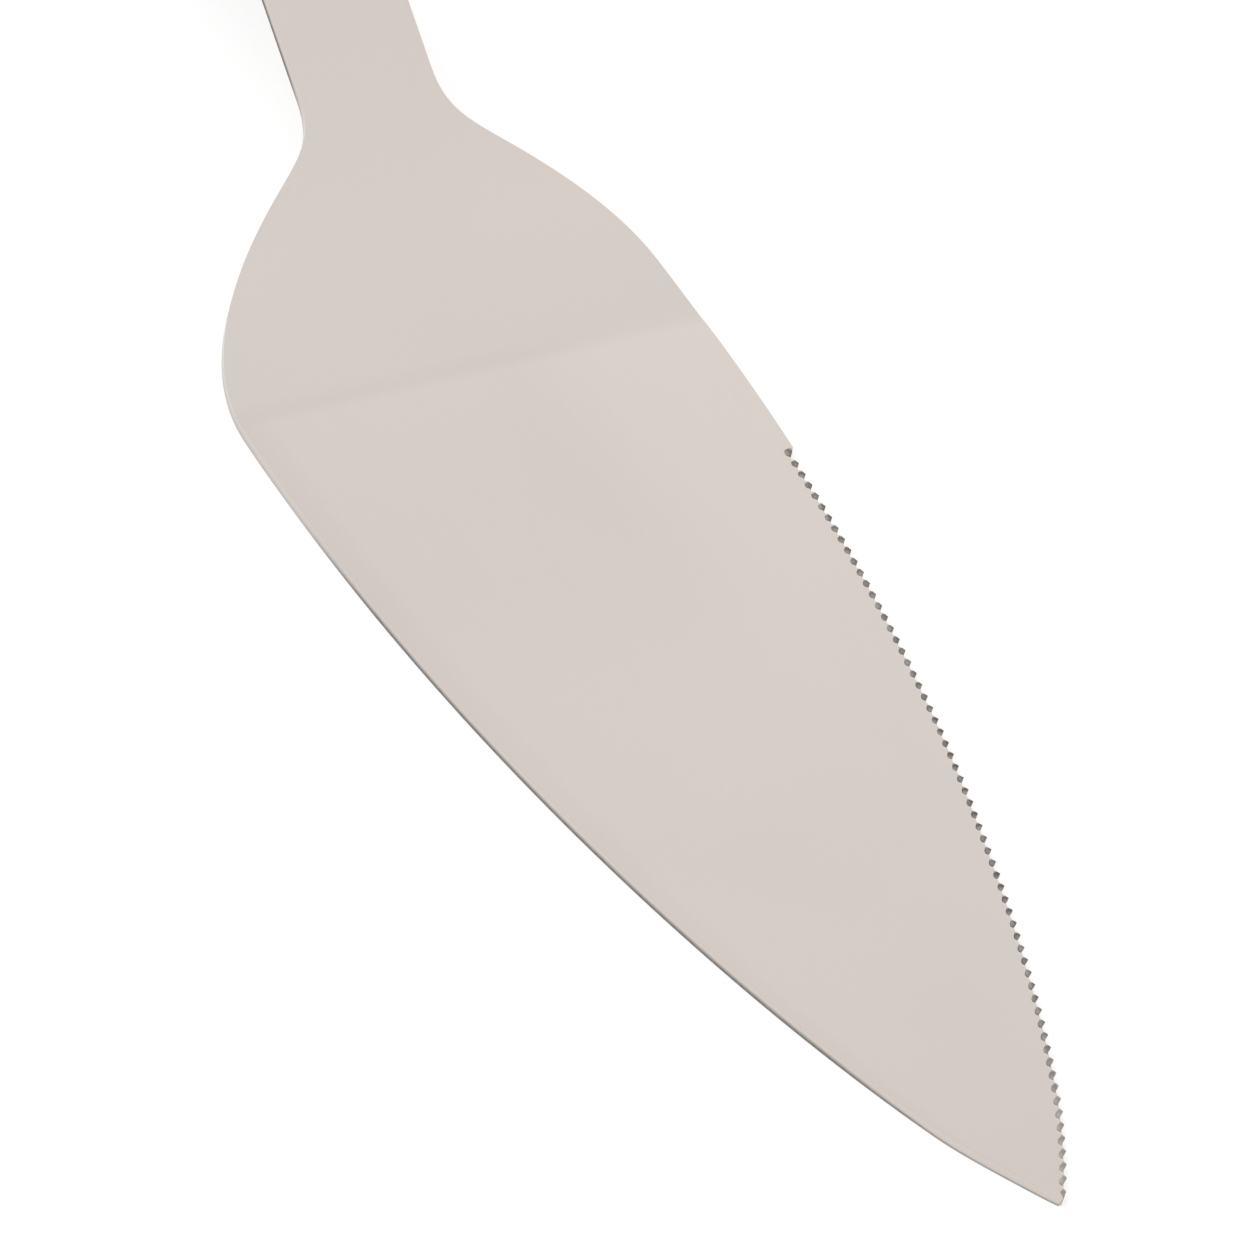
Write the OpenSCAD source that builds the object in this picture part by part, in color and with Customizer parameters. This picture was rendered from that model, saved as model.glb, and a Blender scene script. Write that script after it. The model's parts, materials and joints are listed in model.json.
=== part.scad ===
// Cake server: a leaf-shaped blade with one serrated edge, cranked up through
// a strap neck into a full tang, between two riveted handle scales.
// +X points to the tip, +Y to the serrated edge and +Z up. The origin is on the
// underside of the blade, below its widest place.

/* [Blade] */
// Width of the leaf at its widest
leaf_w = 53.5; // [46:0.1:62]
// From the widest place to where the leaf's two curves would meet
leaf_l = 109.8; // [95:0.1:130]
// From the widest place back to the neck
shoulder_l = 32.1; // [30:0.1:40]
// Thickness of the sheet
sheet_t = 1; // [0.8:0.1:1.6]
// Width of the strap neck
neck_w = 15.3; // [12:0.1:17]
// Length of the straight part of the neck, along its slope
neck_l = 37.5; // [30:0.5:50]
// Flat length behind the widest place, up to the first bend
heel_l = 3; // [1:0.5:5]
// Radius of the first bend, on its outside
heel_bend_r = 17.4; // [12:0.2:22]
// Slope of the neck above the blade, in degrees
neck_angle = 27.8; // [22:0.2:32]
// Radius of the second bend, on its inside
tang_bend_r = 25; // [15:1:40]
// Slope of the handle above the blade, in degrees
handle_angle = 8; // [4:0.5:14]

/* [Serration] */
// From the widest place to the middle of the first tooth
serration_start = 15.55; // [10:0.05:30]
// Average spacing of the teeth along the blade
tooth_pitch = 1.493; // [1.35:0.001:2.5]
// How far the points stand out of the notches
tooth_h = 0.6; // [0.5:0.02:0.8]
// Width of a tooth at its root
tooth_w = 1.1; // [0.9:0.02:1.2]
// How far the bottoms of the notches lie inside the leaf's curve
notch_inset = 1.05; // [0.8:0.05:1.4]
// How much further in the serrated edge lies over the leaf's fore half
edge_trim = 0.15; // [0.05:0.05:0.3]
// Radius of the round hollow in the top of each tooth, at its rim
hollow_r = 0.48; // [0.4:0.01:0.6]
// Depth of that hollow
hollow_depth = 0.13; // [0.08:0.01:0.2]
// How far the hollows reach in beyond the bottoms of the notches
hollow_reach = 0.34; // [0.2:0.01:0.4]
// How much further the plain edge is cut back at the tip
tip_trim = 0.65; // [0.2:0.05:0.7]
// Length cut off the tip to leave it blunt
tip_blunt = 0.05; // [0.05:0.05:0.6]

/* [Handle] */
// Length of the scales
handle_l = 112; // [100:1:130]
// Width of the handle where it starts
handle_front_w = 15.9; // [15:0.1:18]
// Width of the handle at its belly
handle_belly_w = 21.4; // [18:0.2:26]
// Thickness of a scale behind its nose
scale_front_t = 4.3; // [3.6:0.1:5]
// Thickness of a scale at the belly
scale_belly_t = 5.4; // [4.6:0.1:7]
// Bare tang between the second bend and the scales
tang_bare_l = 3; // [1:0.5:8]

/* [Rivets and eyelet] */
// From the front of the scales to the first rivet
rivet_first = 20; // [14:0.5:24]
// From the last rivet to the end of the butt
rivet_setback = 40; // [34:0.5:46]
// Diameter of a rivet's head
rivet_head_d = 6.5; // [5.6:0.1:8]
// Diameter of the rivet's tube
rivet_tube_d = 4.2; // [3.8:0.1:4.8]
// Diameter of the rivet's pin
rivet_pin_d = 2.7; // [2:0.1:2.9]
// From the eyelet's centre to the end of the butt
eyelet_setback = 16; // [14:0.5:20]
// Bore of the hanging eyelet
eyelet_bore_d = 5; // [4:0.1:6]
// Wall of the hanging eyelet
eyelet_wall = 0.5; // [0.4:0.05:0.7]
// Width of the eyelet's rolled rim beyond its wall
eyelet_rim_w = 1.5; // [1.2:0.05:2]

/* [Hidden] */

STEEL = [0.80, 0.79, 0.77];
BRIGHT_STEEL = [0.72, 0.72, 0.73];
WOOD = [0.36, 0.20, 0.12];

// Overrun of every cut
over = 0.5;
// Radial clearance of the rivets and the eyelet in their holes
hole_fit = 0.05;
// Radial clearance of the pins in their tubes
pin_fit = 0.02;

// Shape of the leaf's curve: its two handles and the half angle at the tip
leaf_fore_share = 0.512;
leaf_tip_share = 0.096;
tip_half_angle = 45;
// Shape of the shoulder: where its flank turns into the fillet, as shares of
// the shoulder's length and of the step from the neck to the leaf
flank_x_share = 0.7;
flank_y_share = 0.395;
flank_angle = 49.8;
crown_share = 0.23;
flank_share = 0.45;
fillet_flank_share = 0.19;
fillet_neck_share = 0.14;
// Shape of a tooth, as shares of its height and of half its width: where its
// rear and fore flanks kink in, and how far its point and its hollow lie forward
rear_kink_h_share = 0.55;
rear_kink_w_share = 0.87;
fore_kink_h_share = 0.36;
fore_kink_w_share = 0.88;
point_share = 0.09;
hollow_share = 0.18;
// Spacing: how much wider it is at first, and how late it closes up to the tip
crowding_share = 0.015;
crowding_power = 3;
// The plain edge turns a corner this share of the spacing before the first tooth
corner_share = 0.41;
// Where the serrated edge moves in, as shares of the leaf's length
edge_trim_start_share = 0.5;
edge_trim_run_share = 0.16;
// Where the plain edge is cut back, as shares of the leaf's length
tip_trim_start_share = 0.887;
tip_trim_run_share = 0.09;
curve_steps = 28;
fillet_steps = 10;
bend_steps = 16;

// Handle shape, as shares of its length
belly_share = 0.7;
handle_steps = 40;
section_steps = 16;
// Exponents of the butt's outline, of the scale's section and of its nose
butt_power = 2.6;
section_power = 2.7;
nose_power = 2;
// Length of the sloping nose of a scale and the share of its height left in front
nose_l = 9;
nose_front_share = 0.3;
// Rounding of the scale's front corners in plan
nose_corner = 1.8;
// Length over which the butt thins down
butt_l = 15;

// Rivet heads: how deep they sit and how high they dome
head_sink = 0.6;
head_dome = 0.35;
tube_floor = 0.8;
tube_end_gap = 0.4;
pin_end_gap = 0.6;
// The eyelet's rims sit in shallow spot faces
rim_sink = 0.5;

leaf_half_w = leaf_w / 2;
neck_half_w = neck_w / 2;

// A cubic curve from a to d, with b and c as its handles
function cubic(a, b, c, d, t) =
    pow(1 - t, 3) * a + 3 * pow(1 - t, 2) * t * b + 3 * (1 - t) * t * t * c + pow(t, 3) * d;
function curve(a, b, c, d, steps) = [for (i = [0:steps]) cubic(a, b, c, d, i / steps)];
function heading(angle) = [cos(angle), sin(angle)];
function arc(centre, r, from, to, steps) =
    [for (i = [0:steps]) centre + r * heading(from + (to - from) * i / steps)];
function rounding(u, power) = pow(max(0, 1 - pow(max(0, min(1, u)), power)), 1 / power);
function blend(u) = (1 - cos(180 * max(0, min(1, u)))) / 2;
function flipped(points) = [for (p = points) [p[0], -p[1]]];
function reversed(points) = [for (i = [len(points) - 1:-1:0]) points[i]];

// Half outline of the leaf, from the widest place to the tip
widest = [0, leaf_half_w];
leaf_tip = [leaf_l, 0];
leaf_curve = curve(
    widest,
    widest + [leaf_l * leaf_fore_share, 0],
    leaf_tip + leaf_l * leaf_tip_share * heading(180 - tip_half_angle),
    leaf_tip,
    curve_steps
);
function leaf_half(x) = lookup(x, leaf_curve);

// Half outline of the shoulder, from the widest place back to the neck
flank = [-shoulder_l * flank_x_share, neck_half_w + (leaf_half_w - neck_half_w) * flank_y_share];
neck_start = [-shoulder_l, neck_half_w];
shoulder_curve = concat(
    curve(
        widest,
        widest - [shoulder_l * crown_share, 0],
        flank + shoulder_l * flank_share * heading(flank_angle),
        flank,
        curve_steps
    ),
    curve(
        flank,
        flank - shoulder_l * fillet_flank_share * heading(flank_angle),
        neck_start + [shoulder_l * fillet_neck_share, 0],
        neck_start,
        fillet_steps
    )
);

// The plain edge would meet the line of the notches here; the tip is cut off before
meeting_half = (notch_inset + edge_trim + tip_trim) / 2;
meeting_x = lookup(meeting_half, [for (p = reversed(leaf_curve)) [p[1], p[0]]]);
tip_x = meeting_x - tip_blunt;
function plain_half(x) =
    leaf_half(x) - tip_trim * blend((x / leaf_l - tip_trim_start_share) / tip_trim_run_share);
plain_edge = [for (p = leaf_curve) if (p[0] < tip_x - tooth_w) [p[0], plain_half(p[0])]];
function notch_y(x) =
    leaf_half(x) - notch_inset - edge_trim * blend((x / leaf_l - edge_trim_start_share) / edge_trim_run_share);
tip_end = [[tip_x, -plain_half(tip_x)], [tip_x, notch_y(tip_x)]];

// Teeth: the plain edge runs onto the first one, and then come whole ones
tooth_count = floor((tip_x - tooth_w / 2 - serration_start) / tooth_pitch);
function tooth_x(k) =
    serration_start + k * tooth_pitch * (1 + crowding_share * (1 - pow(k / tooth_count, crowding_power)));
function tooth_point(k, w_share, h_share) =
    let (x = tooth_x(k) + w_share * tooth_w / 2)
    [x, notch_y(x) + h_share * tooth_h];
function rear_flank(k) = [tooth_point(k, -1, 0), tooth_point(k, -rear_kink_w_share, rear_kink_h_share)];
function fore_flank(k) = [
    tooth_point(k, point_share, 1),
    tooth_point(k, fore_kink_w_share, fore_kink_h_share),
    tooth_point(k, 1, 0)
];
corner_x = serration_start - corner_share * tooth_pitch;
serrated_edge = concat(
    [[corner_x, leaf_half(corner_x)]],
    fore_flank(0),
    [for (k = [1:tooth_count]) each concat(rear_flank(k), fore_flank(k))]
);
plain_to_serration = [for (p = leaf_curve) if (p[0] < corner_x - tooth_w / 2) p];

// Side view of the sheet: centres and ends of the two bends, on its underside
bend_centre = [-heel_l, heel_bend_r];
bend_end = bend_centre - heel_bend_r * [sin(neck_angle), cos(neck_angle)];
neck_end = bend_end + neck_l * heading(180 - neck_angle);
tang_bend_centre = neck_end - tang_bend_r * [sin(neck_angle), cos(neck_angle)];
tang_start = tang_bend_centre + tang_bend_r * [sin(handle_angle), cos(handle_angle)];
tang_l = tang_bare_l + handle_l;
// The line that lies a height above the underside, from the tip to the butt
function sheet_line(height) = concat(
    [[leaf_l + over, height]],
    arc(bend_centre, heel_bend_r - height, -90, -90 - neck_angle, bend_steps),
    arc(tang_bend_centre, tang_bend_r + height, 90 - neck_angle, 90 - handle_angle, bend_steps),
    [tang_start + (tang_l + over) * heading(180 - handle_angle) + height * heading(90 - handle_angle)]
);

// Handle: half widths and heights at a distance x from the front of the scales
function handle_half(x) =
    let (front = handle_front_w / 2, belly = handle_belly_w / 2, u = x / handle_l)
    u < belly_share
        ? front + (belly - front) * blend(u / belly_share)
        : belly * rounding((u - belly_share) / (1 - belly_share), butt_power);
function scale_half(x) =
    handle_half(x) - nose_corner * (1 - rounding(1 - x / nose_corner, nose_power));
function scale_height(x) =
    let (full = scale_front_t + (scale_belly_t - scale_front_t) * blend(x / handle_l / belly_share))
    full
        * (nose_front_share + (1 - nose_front_share) * rounding(1 - x / nose_l, nose_power))
        * rounding((x - handle_l + butt_l) / butt_l, nose_power);
function station(i) = handle_l * (1 - cos(180 * i / handle_steps)) / 2;
function section_point(x, j) =
    let (a = 180 * j / section_steps, c = cos(a), s = sin(a))
    [
        x,
        scale_half(x) * sign(c) * pow(abs(c), 2 / section_power),
        scale_height(x) * pow(abs(s), 2 / section_power)
    ];

rivet_last = handle_l - rivet_setback;
rivet_xs = [rivet_first, (rivet_first + rivet_last) / 2, rivet_last];
eyelet_x = handle_l - eyelet_setback;
rivet_hole_r = rivet_tube_d / 2 + hole_fit;
eyelet_outer_r = eyelet_bore_d / 2 + eyelet_wall;
eyelet_hole_r = eyelet_outer_r + hole_fit;
eyelet_rim_r = eyelet_outer_r + eyelet_rim_w;
reach = sheet_t + 2 * scale_belly_t;

// Places a child in the tang's own frame: x runs back along the handle, z is
// square to the sheet, and the underside of the sheet is z = 0
module on_tang() {
    translate([tang_start[0], 0, tang_start[1]])
        rotate([0, 0, 180])
            rotate([0, -handle_angle, 0])
                children();
}

module on_handle() {
    on_tang() translate([tang_bare_l, 0, 0]) children();
}

// Outline of the leaf, its shoulders and the neck up to the second bend
module leaf_outline() {
    polygon(concat(
        [[neck_end[0], -neck_half_w]],
        flipped(reversed(shoulder_curve)),
        flipped(plain_edge),
        tip_end,
        reversed(serrated_edge),
        reversed(plain_to_serration),
        shoulder_curve,
        [[neck_end[0], neck_half_w]]
    ));
}

// The whole sheet in side view, wider than the blade
module bent_sheet() {
    rotate([90, 0, 0])
        linear_extrude(height = leaf_w + 2 * over, center = true)
            polygon(concat(sheet_line(0), reversed(sheet_line(sheet_t))));
}

// Round hollow in the top of one tooth
module tooth_hollow(k) {
    ball_r = (hollow_r * hollow_r + hollow_depth * hollow_depth) / (2 * hollow_depth);
    x = tooth_point(k, hollow_share, 0)[0];
    translate([x, notch_y(x) + hollow_r - hollow_reach, sheet_t + ball_r - hollow_depth])
        sphere(r = ball_r, $fn = 32);
}

// Outline of the neck and the tang, square to the tang
module tang_outline() {
    half = concat(
        [[tang_start[0] - bend_end[0], neck_half_w], [tang_bare_l, neck_half_w]],
        [for (i = [0:handle_steps - 1]) [tang_bare_l + station(i), handle_half(station(i))]]
    );
    polygon(concat(half, [[tang_l, 0]], flipped(reversed(half))));
}

module handle_holes() {
    for (x = rivet_xs)
        translate([x, 0, -reach]) cylinder(r = rivet_hole_r, h = 2 * reach, $fn = 48);
    translate([eyelet_x, 0, -reach]) cylinder(r = eyelet_hole_r, h = 2 * reach, $fn = 48);
}

// One sheet: cut to outline, bent, hollowed tooth by tooth and drilled
module blade() {
    color(STEEL)
        difference() {
            intersection() {
                bent_sheet();
                union() {
                    translate([0, 0, -over])
                        linear_extrude(height = neck_end[1] + sheet_t + 2 * over) leaf_outline();
                    on_tang()
                        translate([0, 0, -neck_end[1]])
                            linear_extrude(height = 2 * neck_end[1]) tang_outline();
                }
            }
            for (k = [0:tooth_count]) tooth_hollow(k);
            on_handle() handle_holes();
        }
}

// One scale, flat side down on z = 0 and crowned upwards
module scale_body() {
    rings = [for (i = [0:handle_steps - 1]) station(i)];
    count = section_steps + 1;
    points = concat(
        [for (x = rings) for (j = [0:section_steps]) section_point(x, j)],
        [[handle_l, 0, 0]]
    );
    apex = len(points) - 1;
    last = (len(rings) - 1) * count;
    crown = [for (i = [0:len(rings) - 2]) for (j = [0:section_steps - 1]) each [
        [i * count + j, i * count + j + 1, (i + 1) * count + j + 1],
        [i * count + j, (i + 1) * count + j + 1, (i + 1) * count + j]
    ]];
    flat = [for (i = [0:len(rings) - 2]) each [
        [i * count, (i + 1) * count, (i + 1) * count + section_steps],
        [i * count, (i + 1) * count + section_steps, i * count + section_steps]
    ]];
    front = [[for (j = [section_steps:-1:0]) j]];
    butt = [for (j = [0:section_steps - 1]) [last + j, last + j + 1, apex]];
    butt_flat = [[last, apex, last + section_steps]];
    polyhedron(points, concat(crown, flat, front, butt, butt_flat), convexity = 4);
}

// A scale with its holes, and with spot faces for the heads and the rim
module scale_part() {
    difference() {
        scale_body();
        handle_holes();
        for (x = rivet_xs)
            translate([x, 0, scale_height(x) - head_sink])
                cylinder(d = rivet_head_d + 2 * hole_fit, h = reach, $fn = 48);
        translate([eyelet_x, 0, scale_height(eyelet_x) - rim_sink])
            cylinder(r = eyelet_rim_r + hole_fit, h = reach, $fn = 48);
    }
}

module scale_upper() {
    color(WOOD) on_handle() translate([0, 0, sheet_t]) scale_part();
}

module scale_lower() {
    color(WOOD) on_handle() mirror([0, 0, 1]) scale_part();
}

// A head is a short disc with a low dome, as half a profile for turning
module head_profile() {
    dome_r = (pow(rivet_head_d / 2, 2) + pow(head_dome, 2)) / (2 * head_dome);
    square([rivet_head_d / 2, head_sink]);
    intersection() {
        translate([0, head_sink + head_dome - dome_r]) circle(r = dome_r, $fn = 360);
        translate([0, head_sink]) square([rivet_head_d / 2, head_dome]);
    }
}

// The tube half comes up from below, with its blind bore open at the top
module rivet_tube(x) {
    seat = scale_height(x) - head_sink;
    length = 2 * seat + sheet_t - tube_end_gap;
    color(BRIGHT_STEEL)
        on_handle()
            translate([x, 0, -seat])
                difference() {
                    union() {
                        mirror([0, 0, 1]) rotate_extrude($fn = 64) head_profile();
                        cylinder(d = rivet_tube_d, h = length, $fn = 64);
                    }
                    translate([0, 0, tube_floor])
                        cylinder(r = rivet_pin_d / 2 + pin_fit, h = length, $fn = 64);
                }
}

// The pin half comes down from above, into the tube
module rivet_pin(x) {
    seat = scale_height(x) - head_sink;
    length = 2 * seat + sheet_t - tube_floor - pin_end_gap;
    color(BRIGHT_STEEL)
        on_handle()
            translate([x, 0, sheet_t + seat]) {
                rotate_extrude($fn = 64) head_profile();
                translate([0, 0, -length]) cylinder(d = rivet_pin_d, h = length, $fn = 64);
            }
}

module rivet_front_tube() { rivet_tube(rivet_xs[0]); }
module rivet_front_pin() { rivet_pin(rivet_xs[0]); }
module rivet_middle_tube() { rivet_tube(rivet_xs[1]); }
module rivet_middle_pin() { rivet_pin(rivet_xs[1]); }
module rivet_rear_tube() { rivet_tube(rivet_xs[2]); }
module rivet_rear_pin() { rivet_pin(rivet_xs[2]); }

// A tube through both scales, with a half-round rim rolled over at each end
module hanging_eyelet() {
    seat = scale_height(eyelet_x) - rim_sink;
    rim_r = (eyelet_rim_r - eyelet_bore_d / 2) / 2;
    color(BRIGHT_STEEL)
        on_handle()
            translate([eyelet_x, 0, -seat])
                rotate_extrude($fn = 64) {
                    translate([eyelet_bore_d / 2, 0]) square([eyelet_wall, 2 * seat + sheet_t]);
                    translate([eyelet_bore_d / 2 + rim_r, 0])
                        intersection() {
                            circle(r = rim_r, $fn = 48);
                            translate([-rim_r, -rim_r]) square([2 * rim_r, rim_r]);
                        }
                    translate([eyelet_bore_d / 2 + rim_r, 2 * seat + sheet_t])
                        intersection() {
                            circle(r = rim_r, $fn = 48);
                            translate([-rim_r, 0]) square([2 * rim_r, rim_r]);
                        }
                }
}

blade();
scale_upper();
scale_lower();
rivet_front_tube();
rivet_front_pin();
rivet_middle_tube();
rivet_middle_pin();
rivet_rear_tube();
rivet_rear_pin();
hanging_eyelet();
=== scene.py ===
import json
import math

import bpy
import numpy as np
from mathutils import Matrix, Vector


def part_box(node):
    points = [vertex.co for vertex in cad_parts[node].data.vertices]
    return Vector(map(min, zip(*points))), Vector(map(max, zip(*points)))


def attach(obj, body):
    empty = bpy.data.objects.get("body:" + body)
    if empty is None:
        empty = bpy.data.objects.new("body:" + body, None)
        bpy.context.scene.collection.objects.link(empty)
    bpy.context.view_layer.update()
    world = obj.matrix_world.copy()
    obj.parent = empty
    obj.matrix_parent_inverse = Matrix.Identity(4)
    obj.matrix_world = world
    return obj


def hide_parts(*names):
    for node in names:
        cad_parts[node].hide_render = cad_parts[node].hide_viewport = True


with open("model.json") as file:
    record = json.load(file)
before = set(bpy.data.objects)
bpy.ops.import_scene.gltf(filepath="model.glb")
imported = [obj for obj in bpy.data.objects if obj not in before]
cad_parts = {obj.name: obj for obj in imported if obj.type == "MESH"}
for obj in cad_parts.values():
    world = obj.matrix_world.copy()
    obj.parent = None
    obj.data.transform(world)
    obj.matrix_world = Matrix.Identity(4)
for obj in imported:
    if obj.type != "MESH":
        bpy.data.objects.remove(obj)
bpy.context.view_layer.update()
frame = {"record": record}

# Lengths are in millimetres and angles in radians up to the place where a mesh is made
MM = 0.001
MOUNTS = {mount["name"]: mount for mount in frame["record"]["mounts"]}
BORE = MOUNTS["hanging_bore"]
BLADE_HIGH = np.array(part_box("blade")[1]) / MM

# The power of a superellipse that is a circle, and into how many steps a cubic curve is divided
CIRCLE_POWER = 2.0
CURVE_STEPS = 200

# The leaf: a cubic curve from the widest place, with its handles as shares of the length
SHEET_T = 1.0
LEAF_HALF = BLADE_HIGH[1]
LEAF_L = 109.8
LEAF_FORE_SHARE = 0.512
LEAF_TIP_SHARE = 0.096
TIP_HALF_ANGLE = math.radians(45)

# The blunt tip: where the sheet ends, how its corners are rounded, how far its face reaches out of
# the line of the notches, and how far in and over which shares of the leaf the plain edge is cut
TIP_X = BLADE_HIGH[0]
TIP_ROUND = 0.05
TIP_FACE = 0.2
TIP_TRIM = 0.65
TIP_TRIM_SHARES = (0.887, 0.977)

# The shoulders: cubic curves from the neck to the flank and from the flank to the widest place
SHOULDER_L = 32.1
FLANK_X_SHARE = 0.7
FLANK_Y_SHARE = 0.395
FLANK_ANGLE = math.radians(49.8)
CROWN_SHARE = 0.23
FLANK_SHARE = 0.45
FILLET_FLANK_SHARE = 0.19
FILLET_NECK_SHARE = 0.14
NECK_HALF = 7.65

# The plain side's shoulder is a little fuller than the other: by how much, and between which places
# it begins and ends
FULLER_BY = 0.24
FULLER_FROM = (-30.0, -18.0)
FULLER_TO = (-14.0, -6.0)

# The sheet in side view, as lengths along its underside behind the widest place
HEEL_L = 3.0
HEEL_BEND_R = 17.4
NECK_ANGLE = math.radians(27.8)
NECK_L = 37.5
TANG_BEND_R = 25.0
HANDLE_ANGLE = math.atan2(BORE["axis"][0], BORE["axis"][2])
TANG_BARE_L = 3.0
NECK_RUN = HEEL_L + HEEL_BEND_R * NECK_ANGLE
SECOND_BEND_RUN = NECK_RUN + NECK_L
TANG_RUN = SECOND_BEND_RUN + TANG_BEND_R * (NECK_ANGLE - HANDLE_ANGLE)
HANDLE_RUN = TANG_RUN + TANG_BARE_L

# The row of teeth: the middle of the first hollow, the pitch, how the teeth draw closer together
# towards the tip, and how far behind the first hollow the full edge ends, as a share of the pitch
SERRATION_START = 15.55
TOOTH_PITCH = 1.493
TOOTH_HALF_W = 0.55
CROWDING_SHARE = 0.015
CROWDING_POWER = 3
CORNER_SHARE = 0.41
CORNER_X = SERRATION_START - CORNER_SHARE * TOOTH_PITCH
TOOTH_COUNT = math.floor((TIP_X - TOOTH_HALF_W - SERRATION_START) / TOOTH_PITCH)
TOOTH_NUMBERS = np.arange(TOOTH_COUNT + 1)
CROWDING = 1 + CROWDING_SHARE * (1 - (TOOTH_NUMBERS / TOOTH_COUNT) ** CROWDING_POWER)
TEETH = SERRATION_START + TOOTH_PITCH * TOOTH_NUMBERS * CROWDING

# At places along the blade: how far inside the leaf's curve the notches lie, how high the teeth are,
# and how much of the teeth's dullness and painted dark shade and reflection they have
EDGE_PLACES = (21.0, 36.0, 53.0, 68.0, 82.0, 92.0, 99.0, 104.0)
NOTCH_INSETS = (1.01, 0.96, 0.92, 1.1, 1.11, 1.06, 0.97, 1.08)
TOOTH_HEIGHTS = (0.57, 0.54, 0.51, 0.55, 0.52, 0.47, 0.39, 0.36)
GROUND_AND_SHADE_SHARES = (0.94, 0.86, 1.0, 1.0, 1.0, 0.85, 0.65, 0.62)

# The five corners of a tooth, one row each, at three places along the blade: how far a corner is
# from the tooth's middle, and its share of the height
FORM_PLACES = (21.0, 36.0, 53.0)
POINT_OFFSETS = (0.08, 0.05, -0.03)
CORNER_OFFSETS = (
    (-0.53, -0.54, -0.51),
    (-0.41, -0.31, -0.24),
    POINT_OFFSETS,
    (0.5, 0.48, 0.25),
    (0.55, 0.55, 0.44),
)
CORNER_HEIGHTS = (
    (0.0, 0.0, 0.0),
    (0.55, 0.64, 0.66),
    (1.0, 1.0, 1.0),
    (0.38, 0.36, 0.32),
    (0.0, 0.0, 0.0),
)

# The round hollow in the top of each tooth. Its place changes towards the tip: how far its rim
# reaches inside the notches, and how far its middle is in front of the tooth's
HOLLOW_R = 0.48
FIRST_HOLLOW_R = 0.58
HOLLOW_DEPTH = 0.13
HOLLOW_TO_TIP = (80.0, 100.0)
HOLLOW_REACHES = (0.34, 0.54)
HOLLOW_FORE = (0.1, 0.17)

# Rounded corners of the sheet: over the plain edge of the leaf and the neck, over that of the
# shoulder and at the tip, under the edges, over the other edge, along the teeth and under the scales
PLAIN_ARRIS = 0.3
SHOULDER_ARRIS = 0.07
TIP_ARRIS = 0.1
UNDER_ARRIS = 0.1
FAR_ARRIS = 0.09
TOOTH_ARRIS = 0.03
TANG_ARRIS = 0.1
ARRIS_WIDTH_SHARE = 0.25
TOOTH_ARRIS_WIDTH_SHARE = 0.1

# How finely the sheet's sections are divided, and the least distance between two points of one
TOP_COLUMNS = 14
UNDER_COLUMNS = 8
LEAD_SHARES = np.array([0.45, 0.85, 1.0])
HOLLOW_SHARES = np.array([0.03, 0.18, 0.36, 0.56, 0.78, 1.0])
WALL_SHARES = np.array([0.3, 0.42, 0.54])
CORNER_TURNS = np.radians([90, 72, 54, 36, 18, 0])
TOOTH_TURNS = np.radians([0, 30, 60, 90])
SLIVER = 0.05
BLADE_CREASE = math.radians(26)

# The strip of the top face that holds the hollows, and the least depth of a point that is ground
GROUND_ZONE = 1.7
GROUND_ZONE_SHARE = 0.45
GROUND_DEPTH = 0.005

# Where the sheet has its stations: between a tooth's corners, round the plain edge's end, at the
# tip, and by counts along the flat, the heel, the neck, the second bend and the tang
HOLLOW_STATIONS = np.array([-0.24, -0.16, 0.14, 0.2, 0.3, 0.37, 0.58, TOOTH_PITCH / 2])
CORNER_STATIONS = CORNER_X + SLIVER * np.array([-2, -0.2, 0.2])
TIP_STATIONS = TIP_X - TIP_ROUND * np.array([1, 0.6, 0.3, 0.1, 0])
BARE_SHARES = np.array([0.4, 0.8, 0.99, 1.01])
STATION_GAP = 0.02
FLAT_GAP = 0.3
FLAT_COUNT = 30
HEEL_COUNT = 18
NECK_COUNT = 60
BEND_COUNT = 14
TANG_COUNT = 70

# The teeth are ground thinner from below, most towards the tip: how much at first and at the tip,
# between which places it grows, how far in it reaches, and where the blunt tip is left full
THINNED = (0.1, 0.6)
THINNED_FROM = (50.0, 92.0)
THINNED_W = 1.3
THINNED_WIDTH_SHARE = 0.4
FULL_AT_TIP = (TIP_X - 0.5, TIP_X)

# The painted dark line of the plain edge, shade and reflection on its rounded arris and wall: between
# which heights it darkens along the leaf, at the tip and on the neck, and how dark it is elsewhere
# and at the tip. It grows along the leaf, thins to the tip and grows on the neck between these places
RIM_HEIGHTS = (0.82, 0.1)
TIP_RIM_HEIGHTS = (0.4, 0.1)
NECK_RIM_HEIGHTS = (0.7, 0.2)
RIM_ELSEWHERE = 0.3
RIM_AT_TIP = 0.8
RIM_FROM = (6.0, 24.0)
RIM_TO_TIP = (84.0, 104.0)
RIM_NECK = (-33.0, -39.0)

# The least darkness of a wall cut by shearing, partly its rough face and partly painted shade, and
# between which heights it sets in from the top down
WALL_TONE = 0.08
WALL_HEIGHT = (0.99, 0.88)

# A painted reflection on the polished sheet from the neck to the tip, a slow change of tone: places,
# and stops of a share and a colour
TONE_FROM = -50.0
TONE_TO = 110.0
PAINTED_REFLECTION_TONES = (
    (0.08, (0.962, 0.962, 0.965, 1)),
    (0.2, (0.985, 0.987, 0.998, 1)),
    (0.34, (0.957, 0.960, 0.970, 1)),
    (0.62, (0.948, 0.952, 0.955, 1)),
    (0.8, (0.938, 0.945, 0.952, 1)),
    (0.97, (0.92, 0.925, 0.928, 1)),
)

# A painted darker reflection on the plain side of the flat: how much, between which distances from
# the centreline, and between which places it begins and ends
DUSKY = 0.968
DUSKY_ACROSS = (2.0, 15.0)
DUSKY_FROM = (-6.5, -4.0)
DUSKY_TO = (12.0, 54.0)
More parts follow.
